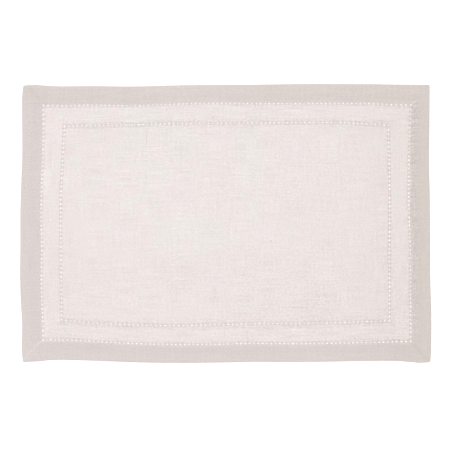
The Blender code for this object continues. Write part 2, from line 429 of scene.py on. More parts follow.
def solidity(x, y):
    out, deep = outward(x, y, OUTER), from_fold(x, y)
    if out > HEM_START:
        stack = rise(deep, RAW_EDGE_INSET - RAW_EDGE_FADE / 2, RAW_EDGE_FADE)
        tone = mix(TWO_LAYERS, THREE_LAYERS, stack)
        tone += SEWN_TONE * fall(out, *SEWN)
        at_mitre = fall(from_mitre(x, y), *BESIDE_MITRE) * rise(deep, *MITRE_RIM)
        return tone + mitre_of(x, y).tone * at_mitre + patchy(x, y, HEM_PATCHES)
    tone = max(packed(x, y, OUTER), packed(x, y, INNER))
    tone += BAND_TONE * rise(outward(x, y, INNER), *BAND)
    return tone + unevenness(x, y)


# ---- holes ----

Side = namedtuple("Side", "name start along out")
SIDES = (
    Side("bottom", (-1, -1), (1, 0), (0, -1)),
    Side("right", (1, -1), (0, 1), (1, 0)),
    Side("top", (1, 1), (-1, 0), (0, 1)),
    Side("left", (-1, 1), (0, -1), (-1, 0)),
)
Hole = namedtuple("Hole", "at off along across")
Bar = namedtuple("Bar", "row side across first last")
HOLE_POINTS = 12
HOLE_PINCH = 0.10  # in between the four ends of a hole
# How far a hole strays along and across its row, and how much its size varies
HOLE_STRAY, HOLE_ASIDE, SIZE_SPREAD = 0.3, 0.14, 0.12
SMALLEST, LARGEST = 0.65, 1.2
# On the top side of the inner row, counted from the right, two holes are drawn long,
# and the two bars after them are split by small holes
SMALL_OPENING = (1.08, 1.05)
SPLIT_BARS = (58, 59)
ODD_OPENINGS = {56: (2.2, 1), 57: (2.75, 1)}
ODD_OPENINGS.update(dict.fromkeys((58, 59, 60), SMALL_OPENING))


def side_length(row, side):
    return 2 * (row.half_x if side.along[0] else row.half_y)


def on_row(row, side, at, off):
    """The board point at a place along a side of a row, off its middle line."""
    x = side.start[0] * row.half_x + side.along[0] * at + side.out[0] * off
    y = side.start[1] * row.half_y + side.along[1] * at + side.out[1] * off
    return x, y


def stretched(part, place):
    return next((size for first, last, size in part.stretches if first < place < last), 1)


def punch_side(row, side, rng):
    """The holes of a side, each a little off its place and size."""
    part = row.parts[side.name]
    pitch = side_length(row, side) / part.spaces
    loose = row is INNER and side.name == "top"
    holes = []
    for i in range(part.spaces):
        stray = 0 if i == 0 else 1
        at = i * pitch + stray * rng.uniform(-HOLE_STRAY, HOLE_STRAY)
        off = stray * rng.uniform(-HOLE_ASIDE, HOLE_ASIDE)
        size = min(max(rng.gauss(1, SIZE_SPREAD), SMALLEST), LARGEST)
        x, y = on_row(row, side, at, off)
        size *= stretched(part, x if side.along[0] else y)
        along, across = size * part.along, size * part.across
        if loose and i in ODD_OPENINGS:
            at, off = i * pitch, 0
            along, across = ODD_OPENINGS[i]
        holes.append(Hole(at, off, along, across))
        if loose and i in SPLIT_BARS:
            holes.append(Hole((i + 0.5) * pitch, 0, *SMALL_OPENING))
    return holes


def punch(row, seed):
    rng = random.Random(seed)
    return [punch_side(row, side, rng) for side in SIDES]


def bars_of(row, sides):
    """The bars of thread between neighbouring holes."""
    bars = []
    for k, side in enumerate(SIDES):
        corner = sides[(k + 1) % len(SIDES)][0]
        end = Hole(side_length(row, side), 0, corner.across, corner.along)
        across = row.parts[side.name].across
        bars.extend(Bar(row, side, across, *pair) for pair in zip(sides[k], sides[k][1:] + [end]))
    return bars


def hole_outline(row, side, hole):
    loop = []
    for i in range(HOLE_POINTS):
        angle = 2 * pi * i / HOLE_POINTS
        bulge = 1 - HOLE_PINCH * sin(2 * angle) ** 2
        at = hole.at + hole.along * bulge * cos(angle)
        off = hole.off + hole.across * bulge * sin(angle)
        loop.append(on_row(row, side, at, off))
    return loop


# ---- points of the front ----

CLOTH_STEP = 4.4  # between points of the plain cloth
CORNER_CLEAR, NEAR_CORNER = 5.2, (4, 1.4)  # kept clear of even points, for two more

# The half circle between the front and the back of the hem
FOLD_RADIUS = (FRONT_OVER_TWO - BACK_HEIGHT) / 2
FOLD_MIDDLE = (FRONT_OVER_TWO + BACK_HEIGHT) / 2
RIM_INSET = FOLD_RADIUS + THICK / 2
FOLD_STEPS = 6
# And where the back is turned in
TURN_RADIUS = (TURN_IN_HEIGHT - BACK_HEIGHT) / 2
TURN_MIDDLE = (TURN_IN_HEIGHT + BACK_HEIGHT) / 2
TURN_STEPS = 4

# Rings of points: how far in from the fold, what share of the way from row to row, and
# how far outside a row, with how many to each space
HEM_RINGS = (1.9, 3.6, 6.6, 9.4, 11.2, 13.2, 16.6)
BAND_RINGS = (0.2, 0.4, 0.6, 0.8)
BAND_FROM, BAND_TO = 3.8, 4  # from the inner and from the outer row
OUTER_RINGS = ((1.7, 4), (2.2, 4), (2.8, 4), (4.2, 2), (-1.9, 4), (-2.8, 4), (-BAND_TO, 2))
INNER_RINGS = ((1.6, 4), (2.6, 4), (-1.6, 4), (-2.6, 4), (BAND_FROM, 2), (-BAND_FROM, 2))
FIELD_INSET = 6  # of the plain field, from the inner row
BAR_POINTS = (-0.7, 0, 0.7)  # across a bar, in half widths of a hole
OPEN_FROM = 1.3  # from the outer row to the single layer
BAR_MARGIN = 0.25  # by which a bar's thin web is wider than its holes

# Lines of points along each mitre, and where they stop
MITRE_STEPS = 22
MITRE_LINES = (-1.5, -0.75, 0, 0.75, 1.5)
MITRE_ASIDE, MITRE_CLEAR, MITRE_END = 0.7, 0.5, 1.9


def stations(half):
    """Places along a side, as shares of its half length."""
    count = int((half - CORNER_CLEAR) // CLOTH_STEP)
    places = [i * CLOTH_STEP for i in range(-count, count + 1)]
    ends = [half - d for d in NEAR_CORNER]
    return [p / half for p in [-e for e in reversed(ends)] + places + ends]


SHARES_X = stations(HALF_X)
SHARES_Y = stations(HALF_Y)


def shares_of(side):
    return SHARES_X if side.along[0] else SHARES_Y


def frame_loop(half_x, half_y, pull=0):
    """Points round a rectangle, from its lower left corner on."""
    loop = []
    for side in SIDES:
        (start_x, start_y), (along_x, along_y), (out_x, out_y) = side[1:]
        loop.append((start_x * (half_x - pull), start_y * (half_y - pull)))
        for share in shares_of(side):
            x, y = share * along_x + out_x, share * along_y + out_y
            loop.append((x * half_x, y * half_y))
    return loop


def row_loop(row, off, parts):
    """Points round a row off its middle line, some parts to each space."""
    points = []
    for side in SIDES:
        steps = parts * row.parts[side.name].spaces
        length = side_length(row, side) + 2 * off
        points.extend(on_row(row, side, length * i / steps - off, off) for i in range(steps))
    return points


def mitre_points():
    points = []
    for i in range(1, MITRE_STEPS):
        share = i / MITRE_STEPS
        for aside in MITRE_LINES:
            for (sign_x, sign_y), mitre in MITRES.items():
                off = MITRE_ASIDE * (aside + bow(mitre, share))
                x = HALF_X - share * HEM_X - off
                y = HALF_Y - share * HEM_Y + off
                in_rim = from_fold(x, y) <= RIM_INSET + MITRE_CLEAR
                if not in_rim and outward(x, y, OUTER) > MITRE_END:
                    points.append((sign_x * x, sign_y * y))
    return points


class Board:
    """Points and lines of the front, to be divided into triangles."""

    def __init__(self):
        self.points, self.lines = [], []
        self.hole_of = {}

    def scatter(self, places):
        first = len(self.points)
        self.points.extend(Vector(p) for p in places)
        return list(range(first, len(self.points)))

    def ring(self, places):
        marks = self.scatter(places)
        self.lines.extend(zip(marks, marks[1:] + marks[:1]))
        return marks

    def hole(self, places):
        number = len(self.hole_of)
        self.hole_of.update((mark, number) for mark in self.ring(places))

    def triangles(self):
        """Points, triangles outside the holes, and where each mark went."""
        found = delaunay_2d_cdt(self.points, self.lines, [], 1, 0.00001)
        spots, _, faces, sources = found[:4]
        went = {mark: i for i, marks in enumerate(sources) for mark in marks}
        number = {went[mark]: hole for mark, hole in self.hole_of.items()}
        kept = []
        for face in faces:
            holes = {number.get(i) for i in face}
            if None in holes or len(holes) > 1:
                kept.append(tuple(face))
        return [(p.x, p.y) for p in spots], kept, went


def mark_holes(board, rows):
    for row, sides in rows:
        for side, holes in zip(SIDES, sides):
            for hole in holes:
                board.hole(hole_outline(row, side, hole))
        for bar in bars_of(row, sides):
            middle = (bar.first.at + bar.last.at) / 2
            board.scatter(on_row(row, bar.side, middle, off * bar.across) for off in BAR_POINTS)


def mark_field(board):
    count_x = int((INNER.half_x - FIELD_INSET) // CLOTH_STEP)
    count_y = int((INNER.half_y - FIELD_INSET) // CLOTH_STEP)
    for i in range(-count_x, count_x + 1):
        for j in range(-count_y, count_y + 1):
            nudge = 0.5 * (j % 2)
            board.scatter([((i + nudge) * CLOTH_STEP, j * CLOTH_STEP)])


def mark_front(rows):
    """The board of the front, and the marks of its outer edge."""
    board = Board()
    rim = board.ring(frame_loop(HALF_X - RIM_INSET, HALF_Y - RIM_INSET, CORNER_PULL))
    for inset in HEM_RINGS:
        share = (inset - RIM_INSET) / (HEM_X - RIM_INSET)
        inset_y = mix(RIM_INSET, HEM_Y, share)
        board.scatter(frame_loop(HALF_X - inset, HALF_Y - inset_y))
    for row, rings in ((OUTER, OUTER_RINGS), (INNER, INNER_RINGS)):
        for off, parts in rings:
            board.scatter(row_loop(row, off, parts))
    for share in BAND_RINGS:
        x = mix(INNER.half_x + BAND_FROM, OUTER.half_x - BAND_TO, share)
        y = mix(INNER.half_y + BAND_FROM, OUTER.half_y - BAND_TO, share)
        board.scatter(frame_loop(x, y))
    board.scatter(mitre_points())
    mark_holes(board, rows)
    mark_field(board)
    return board, rim


# ---- the sheet ----

Strip = namedtuple("Strip", "inset_x inset_y height")
BACK_LINES = (0.12, 0.3, 0.5, 0.7, 0.88)  # shares of the way along the back
TURNED_LINES = (0.33, 0.67, 1)  # and along the edge turned in


def half_circle(steps, radius):
    """How far out and how high the points of a half circle lie, from the lowest on."""
    angles = [pi * i / steps - pi / 2 for i in range(steps + 1)]
    return [(radius * cos(angle), radius * sin(angle)) for angle in angles]


def hem_strips():
    """Lines of the hem round the mat, from the edge of the front to the raw edge."""
    strips = []
    for out, high in half_circle(FOLD_STEPS, FOLD_RADIUS):
        strips.append(Strip(RIM_INSET - out, RIM_INSET - out, FOLD_MIDDLE - high))

    reach_x, reach_y = (hem - BACK_REACH - THICK / 2 - TURN_RADIUS for hem in (HEM_X, HEM_Y))

    def across(share, height):
        return Strip(mix(RIM_INSET, reach_x, share), mix(RIM_INSET, reach_y, share), height)

    strips.extend(across(share, BACK_HEIGHT) for share in BACK_LINES)
    for out, high in half_circle(TURN_STEPS, TURN_RADIUS):
        strips.append(Strip(reach_x + out, reach_y + out, TURN_MIDDLE + high))
    raw = (RAW_EDGE_INSET - RIM_INSET) / (reach_x - RIM_INSET)
    strips.extend(across(1 - part * (1 - raw), TURN_IN_HEIGHT) for part in TURNED_LINES)
    return strips


def strip_runs(strips):
    """Length of cloth from the edge of the front to each strip, along X and Y."""
    runs = [(0, 0)]
    for a, b in zip(strips, strips[1:]):
        step = b.height - a.height
        run_x = hypot(b.inset_x - a.inset_x, step)
        run_y = hypot(b.inset_y - a.inset_y, step)
        runs.append((runs[-1][0] + run_x, runs[-1][1] + run_y))
    return runs


HEM = hem_strips()
RUNS = strip_runs(HEM)
# The linen as it was cut
CUT_HALF_X = HALF_X - RIM_INSET + RUNS[-1][0]
CUT_HALF_Y = HALF_Y - RIM_INSET + RUNS[-1][1]


class Sheet:
    """The middle surface of the cloth, with the place of its face corners on the cut
    cloth and which faces are open."""

    def __init__(self):
        self.points, self.faces = [], []
        self.cuts, self.open = [], []

    def put(self, x, y, height):
        self.points.append((x, y, height))
        return len(self.points) - 1

    def face(self, marks, cuts, is_open=False):
        self.faces.append(marks)
        self.cuts.extend(cuts)
        self.open.append(is_open)


def lay_front(sheet, rows):
    """Lays the front and returns its outer edge."""
    board, rim = mark_front(rows)
    spots, faces, went = board.triangles()
    marks = [sheet.put(x, y, front_height(x, y)) for x, y in spots]
    for face in faces:
        corners = [spots[i] for i in face]
        x, y = (sum(line) / 3 for line in zip(*corners))
        sheet.face([marks[i] for i in face], corners, outward(x, y, OUTER) < -OPEN_FROM)
    return [marks[went[mark]] for mark in rim]


def fold_hem(sheet, edge):
    """Round the fold, back underneath and turned in."""
    sides = [side for side in SIDES for _ in range(1 + len(shares_of(side)))]
    for strip, run, next_run in zip(HEM[1:], RUNS, RUNS[1:]):
        pull = CORNER_PULL if strip.inset_x < 2 * RIM_INSET else 0
        loop = frame_loop(HALF_X - strip.inset_x, HALF_Y - strip.inset_y, pull)
        following = [sheet.put(x, y, strip.height) for x, y in loop]
        for i, side in enumerate(sides):
            j = (i + 1) % len(edge)
            marks = [edge[j], edge[i], following[i], following[j]]
            cuts = []
            for mark, (run_x, run_y) in zip(marks, (run, run, next_run, next_run)):
                x, y, _ = sheet.points[mark]
                if side.along[0]:
                    y = side.out[1] * (HALF_Y - RIM_INSET + run_y)
                else:
                    x = side.out[0] * (HALF_X - RIM_INSET + run_x)
                cuts.append((x, y))
            sheet.face(marks, cuts)
        edge = following


def on_bar(x, y):
    """Whether a point lies between two holes or on the edge of one."""
    return any(
        abs(outward(x, y, row)) < row.parts[nearest_side(x, y, row)].across + BAR_MARGIN
        for row in (OUTER, INNER)
    )


RIM = [settle(x, y) for x, y in frame_loop(HALF_X, HALF_Y, CORNER_PULL)]
MIDDLE_X, MIDDLE_Y = ((max(line) + min(line)) / 2 for line in zip(*RIM))


def lay(x, y, height):
    """A board point on the table, centred on the mat's outline, in metres."""
    laid_x, laid_y = settle(x, y)
    return Vector((laid_x - MIDDLE_X, laid_y - MIDDLE_Y, height + lift(x, y))) * MM


def add_object(name, data):
    thing = bpy.data.objects.new(name, data)
    bpy.context.scene.collection.objects.link(thing)
    return thing


def add_mesh(name, points, faces, materials):
    mesh = bpy.data.meshes.new(name)
    mesh.from_pydata(points, [], faces)
    for material in materials:
        mesh.materials.append(material)
    mesh.shade_smooth()
    return add_object(name, mesh)


def thicken(thing):
    modifier = thing.modifiers.new("thickness", "SOLIDIFY")
    modifier.thickness = THICK * MM
    modifier.offset = 0
    modifier.use_even_offset = modifier.use_quality_normals = True
    modifier.vertex_group = "full"
    modifier.thickness_vertex_group = BAR_THICK / THICK
    graph = bpy.context.evaluated_depsgraph_get()
    solid = bpy.data.meshes.new_from_object(thing.evaluated_get(graph))
    thing.modifiers.clear()
    thin, thing.data = thing.data, solid
    bpy.data.meshes.remove(thin)


def write_map(mesh, places):
    plan = mesh.uv_layers.new(name="OFBake")
    plan.uv.foreach_set("vector", [v for place in places for v in place])


def write_places(mesh, cuts):
    """Where each face corner lies on the cut cloth."""
    cut = mesh.attributes.new("cut", "FLOAT_VECTOR", "CORNER")
    cut.data.foreach_set("vector", [v for x, y in cuts for v in (x, y, 0)])
    write_map(mesh, [(0.5 + x / (2 * CUT_HALF_X), 0.5 + y / (2 * CUT_HALF_Y)) for x, y in cuts])


def write_tones(mesh, sheet):
    front = {i for face in sheet.faces if len(face) == 3 for i in face}
    tones = (
        ("solidity", solidity, THREE_LAYERS),
        ("greenness", greenness, None),
        ("liveliness", liveliness, LIVELY_SOLID),
    )
    for name, tone, on_back in tones:
        values = [
            tone(x, y) if on_back is None or i in front else on_back
            for i, (x, y, _) in enumerate(sheet.points)
        ]
        mesh.attributes.new(name, "FLOAT", "POINT").data.foreach_set("value", values)


def build_cloth(rows, materials):
    sheet = Sheet()
    fold_hem(sheet, lay_front(sheet, rows))
    points = [lay(*point) for point in sheet.points]
    cloth = add_mesh("linen_cloth", points, sheet.faces, materials)
    cloth.data.polygons.foreach_set("material_index", [int(o) for o in sheet.open])
    write_places(cloth.data, sheet.cuts)
    write_tones(cloth.data, sheet)
    full = cloth.vertex_groups.new(name="full")
    full.add([i for i, (x, y, _) in enumerate(sheet.points) if not on_bar(x, y)], 1, "REPLACE")
    thicken(cloth)
    cloth.data.name = "linen_cloth"
    cloth.data.set_sharp_from_angle(angle=radians(50))
    return cloth


# ---- threads ----

UP = Vector((0, 0, 1))
# The right end is painted darker, as painted shade where the light falls off toward it, and the
# map of the threads has bands of that painted shade
SHADE_FROM, SHADE_TO = 100, 210
SHADE_BANDS = 4
CAP_SPOT = 0.02  # size of a thread's cap on that map


def lay_thread(bar, places):
    """Path of a thread through places along the side of a bar, off its row and above
    the sheet, and its band of painted shade."""
    path = []
    for at, off, above in places:
        x, y = on_row(bar.row, bar.side, at, off)
        path.append(lay(x, y, front_height(x, y) + above))
    return path, round((SHADE_BANDS - 1) * rise(x, SHADE_FROM, SHADE_TO - SHADE_FROM))


class Threads:
    """Thin tubes joined into one mesh. All share the map of one thread."""

    def __init__(self, sides):
        self.sides = sides
        self.points, self.faces, self.places = [], [], []

    def tube(self, path, band, radii):
        """A tube along a path that never runs straight up."""
        count, sides = len(path), self.sides
        for i, (place, radius) in enumerate(zip(path, radii)):
            along = (path[min(i + 1, count - 1)] - path[max(i - 1, 0)]).normalized()
            first = (UP - along * UP.dot(along)).normalized()
            second = along.cross(first)
            for k in range(sides):
                angle = 2 * pi * k / sides
                ray = first * cos(angle) + second * sin(angle)
                self.points.append(place + ray * radius)
        last = len(self.points) - sides
        start = last - (count - 1) * sides
        for i, a in enumerate(range(start, last, sides)):
            low, high = ((band + j / count) / SHADE_BANDS for j in (i, i + 1))
            for k in range(sides):
                n = (k + 1) % sides
                self.faces.append((a + k, a + n, a + sides + n, a + sides + k))
                left, right = k / sides, (k + 1) / sides
                self.places.extend(((left, low), (right, low), (right, high), (left, high)))
        self.cap([start + k for k in reversed(range(sides))], band)
        self.cap([last + k for k in range(sides)], band)

    def cap(self, marks, band):
        self.faces.append(tuple(marks))
        for k in range(len(marks)):
            angle = 2 * pi * k / len(marks)
            along = (band + 0.5 + CAP_SPOT * sin(angle)) / SHADE_BANDS
            self.places.append((0.5 + CAP_SPOT * cos(angle), along))

    def piece(self, name, material):
        thing = add_mesh(name, self.points, self.faces, [material])
        write_map(thing.data, self.places)
        return thing


STRAND_SIDES = 5
STRAND_SPACING = 0.38  # from thread to thread on a bar
STRAND_RADIUS = 0.25
STRAND_INSET = 0.05  # of the outer threads from the hole
# How much they differ in place, height and radius
STRAND_STRAY, STRAND_RISE, STRAND_SPIN = 0.18, (-0.03, 0.07), (0.85, 1.12)
# Along one thread of a bar: how far off the row, in half widths of a hole and beyond
# the holes in millimetres, and how thick
Knot = namedtuple("Knot", "within beyond thick")
STRAND = table(
    Knot,
    (-1, -1.25, 0.45), (-1, -0.15, 0.85), (-0.45, 0, 1.05), (0.45, 0, 1.05),
    (1, 0.15, 0.85), (1, 1.25, 0.45),
)


def bar_edge(hole, off, toward):
    """Where the edge of a bar lies beside the outline of a hole."""
    share = (off - hole.off) / hole.across
    if abs(share) >= 1:
        return hole.at
    return hole.at + toward * (hole.along * sqrt(1 - share * share) + STRAND_INSET)


def strand_places(bar, share, above):
    places = []
    for knot in STRAND:
        off = knot.within * bar.across + knot.beyond
        first = bar_edge(bar.first, off, 1)
        last = bar_edge(bar.last, off, -1)
        places.append((mix(first, last, share), off, above * knot.thick))
    return places


def bar_strands(bars, seed):
    """The threads of each bar, drawn together between the holes."""
    rng = random.Random(seed)
    threads = Threads(STRAND_SIDES)
    for bar in bars:
        waist = bar.last.at - bar.first.at - bar.last.along - bar.first.along
        strands = max(round(waist / STRAND_SPACING), 2)
        for k in range(strands):
            share = (k + 0.5 + rng.uniform(-STRAND_STRAY, STRAND_STRAY)) / strands
            places = strand_places(bar, share, rng.uniform(*STRAND_RISE))
            radius = STRAND_RADIUS * rng.uniform(*STRAND_SPIN) * MM
            radii = [radius * knot.thick for knot in STRAND]
            threads.tube(*lay_thread(bar, places), radii)
    return threads


SEWING_SIDES = 4
SEWING_RADIUS = 0.15
PROUD = THICK / 2 + 0.08  # of the sewing thread above the middle of the sheet
SEAM_PART = 3  # bars to each length of sewing thread
SEAM_ASIDE = 0.12  # of the seam outside the holes
SEAM_STRAY = 0.06
# From one hole to the next: share of the way, and height of the thread
SEAM_ARC = ((0, 0), (0.3, 0.8), (0.5, 1), (0.7, 0.8))
# The two legs of a stitch start beside the row and lean apart
STITCH_ASIDE, STITCH_HALF, STITCH_LEAN = 0.1, 0.12, 0.3
STITCH_ARC = ((0, 1.1), (0.45, 1), (0.8, 0.75), (1, 0.2))
REACH_IN_HEM, REACH_IN_FIELD = (0.8, 1.1), (0.9, 1.5)


def sew(threads, bar, places):
    threads.tube(*lay_thread(bar, places), [SEWING_RADIUS * MM] * len(places))


def seam(threads, run, edge, face, rng):
    """Sewing thread along one edge of some bars, dipping in at each hole."""
    off = edge * (run[0].across + SEAM_ASIDE)
    for bars in (run[i : i + SEAM_PART] for i in range(0, len(run), SEAM_PART)):
        places = []
        for bar in bars:
            first = -off if bar is run[0] else bar.first.at
            last = bar.last.at + off if bar is run[-1] else bar.last.at
            for share, height in SEAM_ARC:
                stray = rng.uniform(-SEAM_STRAY, SEAM_STRAY)
                places.append((mix(first, last, share), off + stray, face * PROUD * height))
        places.append((last, off, 0))
        sew(threads, run[0], places)


def stitch(threads, bar, edge, rng):
    middle = (bar.first.at + bar.last.at) / 2
    start = bar.across + STITCH_ASIDE
    into_hem = bar.row is OUTER and edge > 0
    reach = rng.uniform(*(REACH_IN_HEM if into_hem else REACH_IN_FIELD))
    for lean in (-1, 1):
        places = []
        for share, height in STITCH_ARC:
            at = middle + lean * (STITCH_HALF + STITCH_LEAN * share)
            places.append((at, edge * (start + share * reach), PROUD * height))
        sew(threads, bar, places)


def sewing(rows, seed):
    """Seams along both edges of each row, on both faces, and its stitches."""
    rng = random.Random(seed)
    threads = Threads(SEWING_SIDES)
    for row, sides in rows:
        bars = bars_of(row, sides)
        for edge in (-1, 1):
            for face in (-1, 1):
                for side in SIDES:
                    seam(threads, [bar for bar in bars if bar.side is side], edge, face, rng)
        for bar in bars:
            for edge in (-1, 1):
                stitch(threads, bar, edge, rng)
    return threads


# ---- materials ----

# Brightness of a white sheet in the studio, and the part that comes from all round
LIGHT, FILL = 1.30, 0.35


def seen(*levels):
    """The colour of a surface that is to look like this on a screen."""
    return (*(((level / 255 + 0.055) / 1.055) ** 2.4 / LIGHT for level in levels), 1)


# The open layer is painted paler, as painted light from the white floor shining up through it;
# its threads are paler than they look, with dark gaps between
BACKLIT_OPEN_LINEN = seen(247, 236.1, 234.4)
SOLID_LINEN = seen(221.8, 211.7, 209.1)
GREENER = (0.979, 1.023, 1.006, 1)
# Painted shade of the right end, where the light falls off
RIGHT_END_SHADE = (0.95, 0.95, 0.94, 1)
YELLOWED = (1, 1, 0.975, 1)
# Where it yellows, toward the right end and the top
YELLOWED_X, YELLOWED_Y = (205, 235), (143, 150)

# A set of threads: their pitch, how long their short thick places are, how much their
# long ones count beside those, and their seed
System = namedtuple("System", "pitch slub_length long_share seed")
WARP = System(0.60, 2, 0.6, 11)
WEFT = System(0.64, 2.8, 0.7, 43)
WARP_SLUBS = 0.85  # beside the weft's
LONG_SLUB = 34
STRAY, STRAY_LENGTH = 0.75, 9  # of a thread to the side
# How much each noise changes from thread to thread, and what its seed adds
STRAY_NOISE, LONG_NOISE, SHORT_NOISE = (0.83, 3), (0.5, 0), (0.42, 7)
UNDER = 0.4  # height of a thread where the other covers it
# How much thick places change the tone, and the painted shade of the weave: its low places
# between threads painted darker
SLUB_TONE, WEAVE_SHADE, WEAVE_SHADE_BASE = 0.98, -0.2, 0.1
# How wide the gaps of the single layer are, and how much thick places close them
GAP, GAP_BY_SLUB = 0.45, 0.44
# The relief of thick places and of the weave, and the matt surface
SLUB_RELIEF = 1.6
RELIEF = (0.35, 0.00012)  # strength, and depth in metres
ROUGHNESS, ROUGHNESS_BY_WEAVE = 0.90, -0.10
FABRIC = {"Specular IOR Level": 0.25, "Sheen Weight": 0.12}

# Threads spun too thick, and a speck
FLAWS = table(
    Patch,
    (-95, 104, 0.5, 9.5, 0.6), (25.7, -131.6, 0.5, 7.5, 0.5),
    (53.8, -20.9, 0.6, 0.65, 1.5),
)
FLAW_EDGE = 0.3  # how far a flaw fades in and out, in half sizes


class Nodes:
    """Adds shader nodes to a new material or world and joins them."""

    def __init__(self, owner, shader="Principled BSDF"):
        owner.use_nodes = True
        self.owner = owner
        self.tree = owner.node_tree
        self.shader = self.tree.nodes[shader]

    def join(self, sockets, values):
        """Gives sockets their values, or joins them to other sockets."""
        for key, value in values.items():
            if isinstance(value, bpy.types.NodeSocket):
                self.tree.links.new(value, sockets[key])
            else:
                sockets[key].default_value = value

    def add(self, kind, values, **settings):
        node = self.tree.nodes.new("ShaderNode" + kind)
        for name, value in settings.items():
            setattr(node, name, value)
        self.join(node.inputs, values)
        return node.outputs

    def math(self, operation, *values, clamp=False):
        values = dict(enumerate(values))
        return self.add("Math", values, operation=operation, use_clamp=clamp)[0]

    plus = partialmethod(math, "ADD")
    minus = partialmethod(math, "SUBTRACT")
    times = partialmethod(math, "MULTIPLY")

    def scaled(self, value, factor, add=0):
        return self.math("MULTIPLY_ADD", value, factor, add)

    def attribute(self, name, output="Fac"):
        return self.add("Attribute", {}, attribute_name=name)[output]

    def split(self, vector):
        return self.add("SeparateXYZ", {0: vector})[:2]

    def noise(self, x, y, seed, detail=0):
        """Soft noise round 0, at a place in units of its grain."""
        place = self.add("CombineXYZ", {0: x, 1: y, 2: seed})[0]
        values = {"Vector": place, "Scale": 1, "Detail": detail}
        return self.minus(self.add("TexNoise", values)[0], 0.5)

    def ramp(self, value, low, high):
        """0 at low, 1 at high and soft between."""
        values = {"Value": value, "From Min": low, "From Max": high}
        return self.add("MapRange", values, interpolation_type="SMOOTHSTEP")[0]

    def mix(self, factor, first, second, blend="MIX"):
        settings = {"data_type": "RGBA", "blend_type": blend, "clamp_factor": False}
        return self.add("Mix", {0: factor, 6: first, 7: second}, **settings)[2]

    def tint(self, factor, colour, tint):
        return self.mix(factor, colour, tint, "MULTIPLY")

    def bump(self, height, strength, distance):
        values = {"Strength": strength, "Distance": distance, "Height": height}
        return self.add("Bump", values)[0]

    def shade(self, values):
        self.join(self.shader.inputs, values)
        return self.owner


def thread_system(nodes, across, along, system):
    """For each point the number of its thread, how far up its round side it lies and
    how thick it is there."""
    at = nodes.math("DIVIDE", across, system.pitch)
    number = nodes.math("FLOOR", at)

    def uneven(length, step, more):
        """Noise along each thread, apart from that of the next one."""
        far = nodes.scaled(along, 1 / length)
        return nodes.noise(far, nodes.scaled(number, step), system.seed + more)

    stray = nodes.scaled(uneven(STRAY_LENGTH, *STRAY_NOISE), STRAY, 0.5)
    off = nodes.minus(nodes.math("FRACT", at), stray)
    profile = nodes.math("MAXIMUM", nodes.math("COSINE", nodes.scaled(off, pi)), 0)
    long_slub = nodes.scaled(uneven(LONG_SLUB, *LONG_NOISE), system.long_share)
    slub = nodes.plus(long_slub, uneven(system.slub_length, *SHORT_NOISE))
    return number, profile, slub


def weave_of(nodes, x, y):
    """For each point how high the weave is, how thick its threads are and how far up
    their round sides it lies."""
    warp_number, warp_profile, warp_slub = thread_system(nodes, x, y, WARP)
    weft_number, weft_profile, weft_slub = thread_system(nodes, y, x, WEFT)
    parity = nodes.math("MODULO", nodes.plus(warp_number, weft_number), 2)
    warp_over = nodes.math("COMPARE", nodes.math("ABSOLUTE", parity), 1, 0.5)
    warp_top = nodes.times(warp_profile, nodes.scaled(weft_profile, 1 - UNDER, UNDER))
    weft_top = nodes.times(weft_profile, nodes.scaled(warp_profile, 1 - UNDER, UNDER))
    weave = nodes.plus(weft_top, nodes.times(warp_over, nodes.minus(warp_top, weft_top)))
    slub = nodes.plus(weft_slub, nodes.scaled(warp_slub, WARP_SLUBS))
    return weave, slub, nodes.math("MAXIMUM", warp_profile, weft_profile)


def flaw_mark(nodes, x, y, flaw):
    inside = []
    for place, middle, half in ((x, flaw.x, flaw.half_x), (y, flaw.y, flaw.half_y)):
        off = nodes.math("ABSOLUTE", nodes.minus(place, middle))
        inside.append(nodes.ramp(off, (1 + FLAW_EDGE) * half, (1 - FLAW_EDGE) * half))
    return nodes.scaled(nodes.times(*inside), flaw.tone)


def linen(name, sheer):
    """Plain-woven linen of uneven threads, open in one layer and painted paler there, as painted
    light from the floor below.
    """
    nodes = Nodes(bpy.data.materials.new(name))
    x, y = nodes.split(nodes.attribute("cut", "Vector"))
    weave, slub, profile = weave_of(nodes, x, y)
    solid = nodes.attribute("solidity")
    loose = nodes.math("SUBTRACT", 1, solid, clamp=True)

    grain = nodes.scaled(slub, SLUB_TONE)
    # Painted shade: the low places of the weave darker, between the threads
    grain = nodes.plus(grain, nodes.scaled(weave, WEAVE_SHADE, WEAVE_SHADE_BASE))
    tone = nodes.plus(solid, nodes.times(grain, nodes.attribute("liveliness")))
    for flaw in FLAWS:
        tone = nodes.plus(tone, flaw_mark(nodes, x, y, flaw))
    # Painted light: the open tone is paler with the floor's light shown through the single layer
    colour = nodes.mix(tone, BACKLIT_OPEN_LINEN, SOLID_LINEN)
    colour = nodes.tint(nodes.times(nodes.attribute("greenness"), loose), colour, GREENER)
    # Painted shade: darker toward the right end, where the light falls off
    colour = nodes.tint(nodes.ramp(x, SHADE_FROM, SHADE_TO), colour, RIGHT_END_SHADE)
    sunned = nodes.math("MAXIMUM", nodes.ramp(x, *YELLOWED_X), nodes.ramp(y, *YELLOWED_Y))
    colour = nodes.tint(sunned, colour, YELLOWED)

    values = {
        "Base Color": colour,
        "Roughness": nodes.scaled(weave, ROUGHNESS_BY_WEAVE, ROUGHNESS),
        "Normal": nodes.bump(nodes.plus(weave, nodes.scaled(slub, SLUB_RELIEF)), *RELIEF),
    }
    if sheer:
        gap = nodes.math("LESS_THAN", profile, nodes.scaled(slub, GAP_BY_SLUB, GAP))
        values["Alpha"] = nodes.minus(1, nodes.times(gap, loose))
    return nodes.shade(values | FABRIC)


